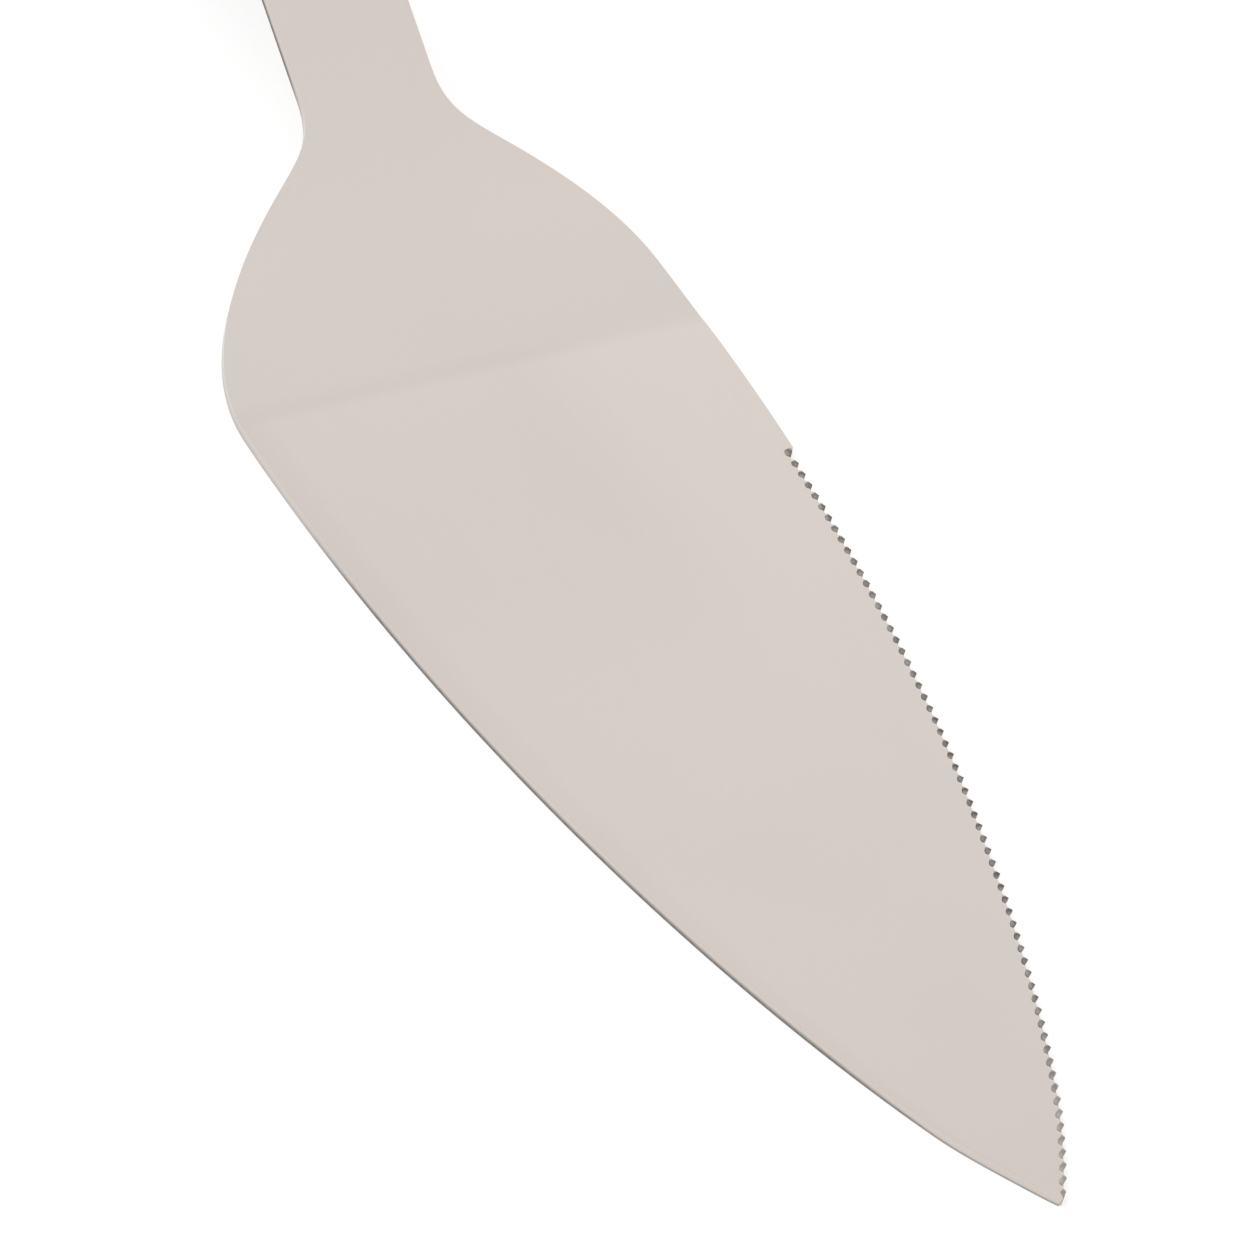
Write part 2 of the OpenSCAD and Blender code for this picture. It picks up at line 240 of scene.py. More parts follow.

# The painted reflection in the hollows, lightest near their middles: its reach, its shift to one side,
# the range between teeth, the seed that deals both out, and how light the teeth's painted dark walls are
LIGHT_REACH = 1.05
LIGHT_SHIFT = 0.3
LIGHT_RANGE = (0.3, 0.88)
LIGHT_SEED = 7
EDGE_LIGHT = 0.2

# How much duller ground and sheared steel is than the polish, and the share of its tint that the
# turned steel keeps in its darker clouds
GROUND_DULLNESS = 0.25
CLOUD_SHADE = 0.93

# The handle. The last section lies just short of the butt's end, where it would close to a line
HANDLE_L = 112.0
HANDLE_FRONT_HALF = 7.95
HANDLE_BELLY_HALF = 10.7
HANDLE_END_SHARE = 0.99985
SCALE_FRONT_T = 4.3
SCALE_BELLY_T = 5.4
BELLY_SHARE = 0.7
BUTT_POWER = 2.6
SECTION_POWER = 2.7
NOSE_L = 9.0
NOSE_FRONT_SHARE = 0.3
NOSE_CORNER = 1.8
BUTT_L = 15.0
SCALE_ARRIS = 0.12
SCALE_ARRIS_SHARE = 0.3
SCALE_CREASE = math.radians(40)
SCALE_STATIONS = 110
SCALE_COLUMNS = 49
SCALE_UNDER_SHARES = np.array([-1, -0.5, 0, 0.5, 1])

# Rivets: a tube and a pin, each with a domed head that is let into its scale
RIVET_XS = {"front": 20.0, "middle": 46.0, "rear": 72.0}
HEAD_R = 3.25
HEAD_SINK = 0.6
HEAD_DOME = 0.35
HEAD_BEVEL = 0.12
TUBE_R = 2.1
PIN_R = 1.35
TUBE_FLOOR = 0.8
TUBE_END_GAP = 0.4
PIN_END_GAP = 0.6
PIN_FIT = 0.02
HOLE_FIT = 0.05

# Eyelet: a tube with a rim rolled over at each end
EYELET_X = 96.0
EYELET_BORE_R = BORE["dims"]["r_mm"]
EYELET_WALL = 0.5
EYELET_R = EYELET_BORE_R + EYELET_WALL
RIM_W = 1.5
EYELET_RIM_R = EYELET_R + RIM_W
RIM_SINK = 0.5

# Turned solids: how close to the axis a profile begins, how finely each is divided, and from which
# angle on an edge between two faces is a crease
AXIS_GAP = 0.02
HEAD_COLUMNS = 12
BEVEL_TURNS = np.radians([30, 60, 90])
RIM_TURNS = np.linspace(np.pi, 0, 15)
RIVET_SEGMENTS = 72
EYELET_SEGMENTS = 96
CREASE = math.radians(32)

# Camera: what it looks at, its distance, its turn and how wide it sees
TARGET = np.array([30.33, -2.31, 0.0])
CAMERA_DISTANCE = 907.0
CAMERA_AZIMUTH = math.radians(47.15)
CAMERA_ELEVATION = math.radians(43.0)
CAMERA_ROLL = math.radians(18.35)
CAMERA_NEAR = 10.0
CAMERA_FAR = 50000.0
FRAME_PX = 1244
PX_PER_MM = 10.416
SENSOR = 36.0

# Light: what the world gives to matt surfaces, the sun, and the floor's own part. What metal mirrors
# of the world is a little brighter below the wall's edge and a little darker above it
AMBIENT = 0.66
SUN_STRENGTH = 1.3
SUN_ANGLE = math.radians(35)
SUN_TILT = (math.radians(32), 0.0, math.radians(-38))
WALL_EDGE = (math.sin(math.radians(40.8)), math.sin(math.radians(46.0)))
WALL_GLOW = 0.04
FLOOR_HALF = 4000.0
FLOOR_DROP = 0.05
FLOOR_MATT = 0.32
FLOOR_GLOW = 0.74
FLOOR_PAPER = 0.8


def ease(u):
    """Half a cosine wave from 0 to 1 while u goes from 0 to 1."""
    return (1 - np.cos(np.pi * np.clip(u, 0, 1))) / 2


def rounding(u, power):
    """Superellipse: the height left at a share u of the way out."""
    return np.maximum(0, 1 - np.clip(u, 0, 1) ** power) ** (1 / power)


def mix(a, b, share):
    """The value that lies a share of the way from a to b."""
    return a + (b - a) * share


def along(x, places):
    """Eases from 0 at the first place to 1 at the second."""
    return ease((x - places[0]) / (places[1] - places[0]))


def heading(angle):
    """A step of length 1 in plan, at an angle to the centreline."""
    return np.array([math.cos(angle), math.sin(angle)])


def cubic(a, b, c, d):
    """Points of the cubic curve from a to d with the handles b and c."""
    t = np.linspace(0, 1, CURVE_STEPS + 1)[:, None]
    return (1 - t) ** 3 * a + 3 * (1 - t) ** 2 * t * b + 3 * (1 - t) * t * t * c + t ** 3 * d


def half_outline():
    """Half outline of the sheet in plan: the cubic curves of neck fillet, shoulder and leaf, joined."""
    widest = np.array([0.0, LEAF_HALF])
    tip = np.array([LEAF_L, 0.0])
    flank = np.array([-SHOULDER_L * FLANK_X_SHARE, mix(NECK_HALF, LEAF_HALF, FLANK_Y_SHARE)])
    neck = np.array([-SHOULDER_L, NECK_HALF])
    forward = heading(0.0)
    fillet = cubic(
        neck,
        neck + SHOULDER_L * FILLET_NECK_SHARE * forward,
        flank - SHOULDER_L * FILLET_FLANK_SHARE * heading(FLANK_ANGLE),
        flank,
    )
    shoulder = cubic(
        flank,
        flank + SHOULDER_L * FLANK_SHARE * heading(FLANK_ANGLE),
        widest - SHOULDER_L * CROWN_SHARE * forward,
        widest,
    )
    leaf = cubic(
        widest,
        widest + LEAF_L * LEAF_FORE_SHARE * forward,
        tip + LEAF_L * LEAF_TIP_SHARE * heading(math.pi - TIP_HALF_ANGLE),
        tip,
    )
    return np.concatenate([fillet, shoulder[1:], leaf[1:]])


OUTLINE = half_outline()


def plan_half(x):
    """Half width of the sheet in plan, where it isn't serrated."""
    return np.interp(x, OUTLINE[:, 0], OUTLINE[:, 1])


def handle_half(x):
    """Half width of the handle: it eases out to the belly and closes as a superellipse at the butt."""
    u = x / HANDLE_L
    swell = mix(HANDLE_FRONT_HALF, HANDLE_BELLY_HALF, ease(u / BELLY_SHARE))
    butt = HANDLE_BELLY_HALF * rounding((u - BELLY_SHARE) / (1 - BELLY_SHARE), BUTT_POWER)
    return np.where(u < BELLY_SHARE, swell, butt)


def scale_half(x):
    """Half width of a scale: the handle's, with the front corners rounded off."""
    return handle_half(x) - NOSE_CORNER * (1 - rounding(1 - x / NOSE_CORNER, CIRCLE_POWER))


def scale_height(x):
    """Height of a scale on its centreline: full height, less the sloping nose and the thin butt."""
    full = mix(SCALE_FRONT_T, SCALE_BELLY_T, ease(x / HANDLE_L / BELLY_SHARE))
    nose = mix(NOSE_FRONT_SHARE, 1, rounding(1 - x / NOSE_L, CIRCLE_POWER))
    butt = rounding((x - HANDLE_L + BUTT_L) / BUTT_L, CIRCLE_POWER)
    return full * nose * butt


def sheet_place(run, height):
    """The sheet in side view, as x and z. A run is a length along the underside, back from the widest
    place: flat, an arc that turns up, the straight neck, an arc that turns back and the straight tang.
    A height is square to the sheet."""
    turned_up = np.clip((run - HEEL_L) / HEEL_BEND_R, 0, NECK_ANGLE)
    neck = np.clip(run - NECK_RUN, 0, NECK_L)
    turned_back = np.clip((run - SECOND_BEND_RUN) / TANG_BEND_R, 0, NECK_ANGLE - HANDLE_ANGLE)
    tang = np.maximum(run - TANG_RUN, 0)
    slope = turned_up - turned_back
    left = NECK_ANGLE - turned_back
    x = height * np.sin(slope) - np.minimum(run, HEEL_L)
    x = x - HEEL_BEND_R * np.sin(turned_up) - neck * math.cos(NECK_ANGLE)
    x = x - TANG_BEND_R * (math.sin(NECK_ANGLE) - np.sin(left)) - tang * math.cos(HANDLE_ANGLE)
    z = height * np.cos(slope) + HEEL_BEND_R * (1 - np.cos(turned_up)) + neck * math.sin(NECK_ANGLE)
    z = z + TANG_BEND_R * (np.cos(left) - math.cos(NECK_ANGLE)) + tang * math.sin(HANDLE_ANGLE)
    return x, z


def placed(run, y, height):
    """Points in the part's frame from a run, a distance from the centreline and a height."""
    x, z = sheet_place(run, height)
    return np.stack(np.broadcast_arrays(x, y, z), axis=-1)


def on_handle(x, y, height):
    """Points in the part's frame from a distance behind the front of the scales."""
    return placed(HANDLE_RUN + x, y, height)


def trimmed(x):
    """How much further in than the leaf's curve the plain edge is cut, close to the tip."""
    return TIP_TRIM * along(x / LEAF_L, TIP_TRIM_SHARES)


def side_y(run, height):
    """Half width at a run and a height: cut in plan as far as the tang, and then the tang's own."""
    x, _ = sheet_place(run, height)
    tang = np.where(run < HANDLE_RUN, NECK_HALF, handle_half(np.maximum(run - HANDLE_RUN, 0)))
    return np.where(run < TANG_RUN, plan_half(x), tang)


def plain_y(run, height):
    """The plain side: a little fuller on the shoulder, and cut further in close to the tip."""
    x, _ = sheet_place(run, height)
    fuller = FULLER_BY * along(x, FULLER_FROM) * (1 - along(x, FULLER_TO))
    return side_y(run, height) + fuller - trimmed(x)


def notch_y(x):
    """The line of the notches, inside the leaf's curve."""
    return plan_half(x) - np.interp(x, EDGE_PLACES, NOTCH_INSETS)


def nearest_tooth(x):
    """Which tooth is nearest, and how far away its middle is along the blade."""
    number = np.searchsorted((TEETH[1:] + TEETH[:-1]) / 2, x)
    return number, x - TEETH[number]


def tooth_height(x, off):
    """How far a tooth stands out from the notches: straight between its five corners."""
    places = [np.interp(x, FORM_PLACES, row) for row in CORNER_OFFSETS]
    shares = [np.interp(x, FORM_PLACES, row) for row in CORNER_HEIGHTS]
    share = 0 * off
    for start, end, first, last in zip(places, places[1:], shares, shares[1:]):
        inside = (off >= start) & (off < end)
        share = np.where(inside, mix(first, last, (off - start) / (end - start)), share)
    return share * np.interp(x, EDGE_PLACES, TOOTH_HEIGHTS)


def hollow_place(x, y):
    """Radius of the nearest hollow, and how far a point is from its middle, along and across."""
    number, off = nearest_tooth(x)
    radius = np.where(number > 0, HOLLOW_R, FIRST_HOLLOW_R)
    share = along(x, HOLLOW_TO_TIP)
    return radius, off - mix(*HOLLOW_FORE, share), y - notch_y(x) - radius + mix(*HOLLOW_REACHES, share)


def hollow_start_y(x):
    """Where the round rim of the nearest hollow begins across the blade: half a chord of its circle
    short of the middle, and nowhere beyond its sides."""
    radius, off, across = hollow_place(x, 0.0)
    chord = np.sqrt(np.maximum(radius ** 2 - off ** 2, 0))
    return np.where(np.abs(off) < radius, -across - chord, np.inf)


def hollow_floor(x, y):
    """Height of the top face in a hollow: the cap of a ball of a given width and depth, with its
    middle on a line along the notches."""
    radius, off, across = hollow_place(x, y)
    away = off ** 2 + across ** 2
    ball = (radius ** 2 + HOLLOW_DEPTH ** 2) / (2 * HOLLOW_DEPTH)
    floor = SHEET_T + ball - HOLLOW_DEPTH - np.sqrt(np.maximum(ball ** 2 - away, 0))
    return np.where(away < radius ** 2, np.minimum(floor, SHEET_T), SHEET_T)


def painted_hollow_reflection(x, y):
    """How light the painted reflection in a hollow is: most near its middle, shifted to one side by a
    seeded turn per tooth, and by a seeded amount."""
    number, _ = nearest_tooth(x)
    radius, off, across = hollow_place(x, y)
    turns, amounts, _ = np.random.default_rng(LIGHT_SEED).random((TOOTH_COUNT + 1, 3)).T
    turn = 2 * np.pi * turns[number]
    shift = LIGHT_SHIFT * radius
    inner = HOLLOW_REACHES[0] / 2
    away = np.hypot(off - shift * np.cos(turn), across + inner - shift * np.sin(turn)) / radius
    return (1 - ease(away / LIGHT_REACH)) * mix(*LIGHT_RANGE, amounts[number])


def worked_y(run, height):
    """The edge on the toothed side: plain up to a corner, then down onto the first point, then teeth
    on the line of the notches, and from the last point straight to the blunt tip."""
    x, _ = sheet_place(run, height)
    toothed = notch_y(x) + tooth_height(x, nearest_tooth(x)[1])
    first, last = TEETH[0] + POINT_OFFSETS[0], TEETH[-1] + POINT_OFFSETS[-1]
    first_y, last_y = notch_y(first) + TOOTH_HEIGHTS[0], notch_y(last) + TOOTH_HEIGHTS[-1]
    falling = mix(plan_half(CORNER_X), first_y, (x - CORNER_X) / (first - CORNER_X))
    closing = mix(last_y, notch_y(TIP_X) + TIP_FACE, (x - last) / (TIP_X - last))
    toothed = np.where(x < first, falling, np.where(x > last, closing, toothed))
    return np.where(x > CORNER_X, toothed, side_y(run, height))


def tip_rounding(x):
    """How far in the corners of the blunt tip are rounded off: a quarter circle before its face."""
    return TIP_ROUND * (1 - rounding(1 - (TIP_X - x) / TIP_ROUND, CIRCLE_POWER))


def blade_runs():
    """Stations along the blade, from the tip back: at the corners of every tooth and hollow, evenly
    along flat, heel, neck and second bend, and by a cosine, closer at both ends, along the tang."""
    corners = np.stack([np.interp(TEETH, FORM_PLACES, row) for row in CORNER_OFFSETS], axis=1)
    steps = np.sort(np.concatenate([corners, HOLLOW_STATIONS + 0 * TEETH[:, None]], axis=1), axis=1)
    toothed = (TEETH[:, None] + steps).ravel()
    inside = (toothed > CORNER_X + SLIVER) & (toothed < TIP_STATIONS[0] - STATION_GAP)
    toothed = np.concatenate([CORNER_STATIONS, toothed[inside], TIP_STATIONS])
    flat = np.linspace(toothed[0] - FLAT_GAP, -HEEL_L, FLAT_COUNT)
    heel = np.linspace(HEEL_L, NECK_RUN, HEEL_COUNT)[1:]
    neck = np.linspace(NECK_RUN, SECOND_BEND_RUN, NECK_COUNT)[1:]
    bend = np.linspace(SECOND_BEND_RUN, TANG_RUN, BEND_COUNT)[1:]
    bare = TANG_RUN + TANG_BARE_L * BARE_SHARES
    tang = HANDLE_RUN + HANDLE_L * (1 - np.cos(np.linspace(0, np.pi, TANG_COUNT)[2:-1])) / 2
    last = [HANDLE_RUN + HANDLE_L * HANDLE_END_SHARE]
    return np.concatenate([-toothed[::-1], -flat, heel, neck, bend, bare, tang, last])


def blade_sections(run):
    """Closed sections square to the sheet, as distances from the centreline and heights, one row of
    points per station. They go up round the plain edge by a quarter circle, over the top face into
    the hollows, down the toothed edge and back along the underside. With them comes how dull each
    point is and how dark it is painted as shade and reflection, in the hollows and on the teeth's
    walls; how light the painted reflection in the hollows is there; and how dark the rim is, partly
    by its rough cut face and partly by painted shade."""
    run = run[:, None]
    x = -run
    blunt = tip_rounding(x)
    width = worked_y(run, SHEET_T) + plain_y(run, SHEET_T) - 2 * blunt
    toothed = np.where(x > CORNER_X, 1.0, 0.0)
    plain_r, under_r, worked_r = arrises(run, width, toothed)

    wall_h = SHEET_T * WALL_SHARES
    wall_y = blunt - plain_y(run, wall_h)
    rise_h = SHEET_T - plain_r * (1 - np.cos(CORNER_TURNS))
    rise_y = blunt - plain_y(run, rise_h) + plain_r * (1 - np.sin(CORNER_TURNS))
    left = rise_y[:, -1:]
    right = worked_y(run, SHEET_T) - worked_r - blunt
    zone = right - np.minimum(GROUND_ZONE, GROUND_ZONE_SHARE * (right - left))
    top_y = mix(left, zone, np.arange(1, TOP_COLUMNS + 1) / TOP_COLUMNS)
    start = np.clip(hollow_start_y(x), zone + SLIVER, right - SLIVER)
    start = np.where(toothed > 0, start, right - SLIVER * len(HOLLOW_SHARES))
    lead_y = mix(zone, start, LEAD_SHARES)
    hollow_y = mix(start, right, HOLLOW_SHARES)
    hollow_h = np.where(toothed > 0, hollow_floor(x, hollow_y), SHEET_T)
    fall_h = hollow_h[:, -1:] - worked_r * (1 - np.cos(TOOTH_TURNS[1:]))
    fall_y = worked_y(run, fall_h) - worked_r * (1 - np.sin(TOOTH_TURNS[1:])) - blunt
    thinned = toothed * mix(*THINNED, along(x, THINNED_FROM)) * (1 - along(x, FULL_AT_TIP))
    foot_h = thinned + worked_r * (1 - np.cos(TOOTH_TURNS[::-1]))
    foot_y = worked_y(run, foot_h) - worked_r * (1 - np.sin(TOOTH_TURNS[::-1])) - blunt
    turn_h = under_r * (1 - np.cos(CORNER_TURNS[::-1]))
    turn_y = blunt - plain_y(run, turn_h) + under_r * (1 - np.sin(CORNER_TURNS[::-1]))
    foot, turn = foot_y[:, -1:], turn_y[:, :1]
    bevel_y = foot - np.minimum(THINNED_W, THINNED_WIDTH_SHARE * (foot - turn))
    under_y = mix(bevel_y, turn, np.arange(UNDER_COLUMNS) / UNDER_COLUMNS)

    # Duller steel in the hollows and on the teeth's walls, painted dark there as shade and reflection
    ground = np.where(hollow_h < SHEET_T - GROUND_DEPTH, 1.0, 0.0)
    # Painted dark lines of shade and reflection along the rims: the plain edge's, and the other edge's
    # where it has no teeth
    plain, far = plain_rim(x), (1 - toothed) * RIM_ELSEWHERE
    strips = (
        (wall_y, wall_h, 0.0, 0.0, plain),
        (rise_y, rise_h, 0.0, 0.0, plain),
        (top_y, SHEET_T, 0.0, 0.0, 0.0),
        (lead_y, SHEET_T, 0.0, 0.0, 0.0),
        (hollow_y, hollow_h, ground, painted_hollow_reflection(x, hollow_y), 0.0),
        (fall_y, fall_h, toothed, EDGE_LIGHT, far),
        (foot_y, foot_h, toothed, EDGE_LIGHT, far),
        (under_y, 0.0, 0.0, 0.0, 0.0),
        (turn_y, turn_h, 0.0, 0.0, plain),
    )
    columns = zip(*[np.broadcast_arrays(*strip) for strip in strips])
    y, h, ground, light, rim = [np.concatenate(column, axis=1) for column in columns]
    return y, h, ground * np.interp(x, EDGE_PLACES, GROUND_AND_SHADE_SHARES), light, rim_tone(x, h, under_r, rim)


def arrises(run, width, toothed):
    """Radii of the sheet's corners: over the plain edge, under it, and over and under the other edge.
    None is wider than a share of the sheet."""
    x = -run
    limit = width * ARRIS_WIDTH_SHARE
    plain_r = mix(mix(SHOULDER_ARRIS, PLAIN_ARRIS, off_shoulder(x)), TIP_ARRIS, along(x, RIM_TO_TIP))
    plain_r, far_r = [np.where(run > HANDLE_RUN, TANG_ARRIS, radius) for radius in (plain_r, FAR_ARRIS)]
    tooth_r = np.minimum(TOOTH_ARRIS, width * TOOTH_ARRIS_WIDTH_SHARE)
    worked_r = mix(np.minimum(far_r, limit), tooth_r, toothed)
    return np.minimum(plain_r, limit), np.minimum(UNDER_ARRIS, limit), worked_r


def rim_tone(x, h, under_r, shown):
    """How dark the rim is at a height, as painted shade: it eases in downwards, and a wall cut by
    shearing, partly by its rough face and partly by painted shade, is never quite plain.
    """
    tip, neck = along(x, RIM_TO_TIP), along(x, RIM_NECK)
    start, full = [
        mix(mix(on_leaf, at_tip, tip), on_neck, neck)
        for on_leaf, at_tip, on_neck in zip(RIM_HEIGHTS, TIP_RIM_HEIGHTS, NECK_RIM_HEIGHTS)
    ]
    darkening = ease((start - h) / (start - full)) * shown
    wall = np.where((h > under_r) & (shown > 0), WALL_TONE * along(h, WALL_HEIGHT), 0)
    return np.maximum(darkening, wall)


def off_shoulder(x):
    """One along the leaf and on the neck, and nought between."""
    return np.maximum(along(x, RIM_FROM), along(x, RIM_NECK))


def plain_rim(x):
    """How dark the painted shade on the rim of the plain edge is: full along the leaf and on the neck,
    faint between, and a little less at the tip."""
    return mix(RIM_ELSEWHERE, 1, off_shoulder(x)) * mix(1, RIM_AT_TIP, along(x, RIM_TO_TIP))


def new_mesh(name, points, faces, sharp=CREASE):
    """A mesh in metres from points in millimetres: smooth, with creases where faces meet at an angle."""
    mesh = bpy.data.meshes.new(name)
    mesh.from_pydata((np.asarray(points).reshape(-1, 3) * MM).tolist(), [], faces)
    mesh.polygons.foreach_set("use_smooth", np.ones(len(mesh.polygons), bool))
    mesh.set_sharp_from_angle(angle=sharp)
    mesh.validate()
    return mesh


def loft_faces(stations, rows, ends=True):
    """Four-sided faces between neighbouring closed rows of points, and one face over each end."""
    index = np.arange(stations * rows).reshape(stations, rows)
    beside = np.roll(index, -1, axis=1)
    quads = np.stack([index[:-1], beside[:-1], beside[1:], index[1:]], axis=-1).reshape(-1, 4)
    if not ends:
        return quads.tolist()
    return quads.tolist() + [index[0][::-1].tolist(), index[-1].tolist()]


def capped_faces(stations, rows):
    """Faces of a loft that a fan of triangles closes at each end, round a middle point. The two middle
    points come after all the others."""
    index = np.arange(stations * rows).reshape(stations, rows)
    faces = loft_faces(stations, rows, ends=False)
    for ring, middle in ((index[0][::-1], stations * rows), (index[-1], stations * rows + 1)):
        faces += np.stack([ring, np.roll(ring, -1), middle + 0 * ring], axis=1).tolist()
    return faces


def with_middles(values):
    """Values of a loft's points, one row per station, with the mean of each end row after them."""
    flat = values.reshape(values.shape[0] * values.shape[1], -1)
    return np.concatenate([flat, values[[0, -1]].mean(axis=1).reshape(2, -1)])


def new_piece(name, mesh, material, slot, *nodes):
    """A piece on the object's one body, in place of its plain solids."""
    piece = bpy.data.objects.new(name, mesh)
    bpy.context.scene.collection.objects.link(piece)
    mesh.materials.clear()
    mesh.materials.append(material)
    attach(piece, "root")
    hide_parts(*nodes)
    return piece


def add_attribute(mesh, name, values):
    """A value per point, for a material to read."""
    layer = mesh.attributes.new(name, "FLOAT", "POINT")
    layer.data.foreach_set("value", np.asarray(values, np.float32).ravel())


def turned_points(profile, x, segments):
    """A profile of radii and heights, turned round an axis square to the handle."""
    angle = np.linspace(0, 2 * np.pi, segments, endpoint=False)
    radius, height = profile[:, :1], profile[:, 1:]
    return on_handle(x + radius * np.cos(angle), radius * np.sin(angle), height + 0 * angle)


def turned_mesh(name, profile, x, segments=RIVET_SEGMENTS, closed=False):
    """A turned solid: the profile is a closed loop, or starts and ends close to the axis."""
    points = turned_points(profile, x, segments)
    faces = loft_faces(len(points) + closed, segments, ends=not closed)
    if closed:
        faces = (np.array(faces) % (len(points) * segments)).tolist()
    return new_mesh(name, points, faces)


def turned_piece(name, profile, x, material, slot, node, segments=RIVET_SEGMENTS, closed=False):
    """A turned piece. Each point keeps its distance from the axis, which the turned steel reads."""
    mesh = turned_mesh(name, profile, x, segments, closed)
    add_attribute(mesh, "from_axis", np.repeat(profile[:, 0], segments))
    return new_piece(name, mesh, material, slot, node)


def solid_profile(radius, low, high):
    """A plain rod's profile, from its top at the axis to its foot at the axis."""
    return np.array([[AXIS_GAP, high], [radius, high], [radius, low], [AXIS_GAP, low]])


def cutter(name, profile, x):
    """A turned solid that is only there to be taken out of a piece."""
    tool = bpy.data.objects.new(name, turned_mesh(name, profile, x))
    bpy.context.scene.collection.objects.link(tool)
    return tool


def drill(piece, tools):
    """Takes the cutters out of the piece, for good."""
    for tool in tools:
        modifier = piece.modifiers.new("hole", "BOOLEAN")
        modifier.object = tool
        modifier.operation = "DIFFERENCE"
        modifier.solver = "EXACT"
    graph = bpy.context.evaluated_depsgraph_get()
    mesh = bpy.data.meshes.new_from_object(piece.evaluated_get(graph))
    piece.modifiers.clear()
    piece.data = mesh
    for tool in tools:
        bpy.data.objects.remove(tool)


def nodes_of(name):
    """A new material: its node tree's own maker, and its shader."""
    material = bpy.data.materials.new(name)
    material.use_nodes = True
    tree = material.node_tree
    return material, tree, tree.nodes["Principled BSDF"]


def fill(tree, socket, value):
    """Puts a value or a link on a socket."""
    if isinstance(value, bpy.types.NodeSocket):
        tree.links.new(value, socket)
    else:
        socket.default_value = value


def add(tree, kind, settings=None, **inputs):
    """One node, with its settings and its inputs. An input goes by its name, or by i and its number."""
    node = tree.nodes.new(kind)
    for key, value in (settings or {}).items():
        setattr(node, key, value)
    for key, value in inputs.items():
        fill(tree, node.inputs[int(key[1:]) if key[1:].isdigit() else key], value)
    return node


def grained(tree, stretch, turn=0.0):
    """Object coordinates, in metres, turned about the cross axis and stretched."""
    place = add(tree, "ShaderNodeTexCoord").outputs["Object"]
    return add(tree, "ShaderNodeMapping", Vector=place, Rotation=(0.0, turn, 0.0), Scale=stretch).outputs[0]


def noise(tree, vector, scale=1.0, detail=2.0, roughness=0.5, distortion=0.0):
    """A cloudy pattern round a half, with its scale in turns per metre of a plain vector."""
    inputs = {"Scale": scale, "Detail": detail, "Roughness": roughness, "Distortion": distortion}
    return add(tree, "ShaderNodeTexNoise", Vector=vector, **inputs).outputs[0]


def spread(tree, value, low, high, to_low, to_high, kind="SMOOTHSTEP"):
    """Carries a range of a value over to another, easing in and out unless told otherwise."""
    settings = {"interpolation_type": kind, "clamp": True}
    inputs = {"i0": value, "i1": low, "i2": high, "i3": to_low, "i4": to_high}
    return add(tree, "ShaderNodeMapRange", settings, **inputs).outputs[0]


def blended(tree, share, a, b, mode="MIX"):
    """One colour over another by a share."""
    settings = {"data_type": "RGBA", "blend_type": mode}
    return add(tree, "ShaderNodeMix", settings, i0=share, i6=a, i7=b).outputs[2]


def attribute(tree, name):
    """A value that the mesh keeps per point."""
    return add(tree, "ShaderNodeAttribute", {"attribute_name": name}).outputs["Fac"]


def arithmetic(tree, operation, *values):
    """A sum, or another operation, of values or links."""
    inputs = {f"i{number}": value for number, value in enumerate(values)}
    return add(tree, "ShaderNodeMath", {"operation": operation}, **inputs).outputs[0]


def ramp(tree, value, *stops):
    """A colour ramp through stops of a position and a colour."""
    node = add(tree, "ShaderNodeValToRGB", Fac=value)
    elements = node.color_ramp.elements
    while len(elements) < len(stops):
        elements.new(0.5)
    for element, (position, colour) in zip(elements, stops):
        element.position = position
        element.color = colour
    return node.outputs["Color"]


def relief(tree, shader, height, strength, distance):
    """A fine relief on the surface, at most a distance deep in millimetres."""
    bump = add(tree, "ShaderNodeBump", Height=height, Strength=strength, Distance=distance * MM)
    tree.links.new(bump.outputs[0], shader.inputs["Normal"])


def polished_tone(tree, plain):
    """Colour of the polished flat: a faint cloudiness, a painted reflection whose tone changes slowly along
    the blade, and a painted darker reflection on the plain side in front of the bend."""
    clouds = spread(tree, noise(tree, plain, scale=38.0, roughness=0.4), 0.35, 0.65, 0.0, 1.0)
    steel = blended(tree, clouds, (0.708, 0.648, 0.600, 1), (0.720, 0.652, 0.602, 1))
    places = add(tree, "ShaderNodeSeparateXYZ", Vector=plain).outputs
    # Painted reflection: the tone changes slowly from the neck to the tip
    stretch = spread(tree, places["X"], TONE_FROM * MM, TONE_TO * MM, 0.0, 1.0, "LINEAR")
    steel = blended(tree, 1.0, steel, ramp(tree, stretch, *PAINTED_REFLECTION_TONES), "MULTIPLY")
    # Painted darker reflection on the plain side in front of the bend
    across = spread(tree, places["Y"], *[y * MM for y in DUSKY_ACROSS], 1.0, 0.0)
    begun = spread(tree, places["X"], *[x * MM for x in DUSKY_FROM], 0.0, 1.0)
    left = spread(tree, places["X"], *[x * MM for x in DUSKY_TO], 1.0, 0.0)
    dusk = arithmetic(tree, "MULTIPLY", across, arithmetic(tree, "MULTIPLY", begun, left))
    return blended(tree, dusk, steel, (DUSKY, DUSKY, DUSKY, 1), "MULTIPLY")


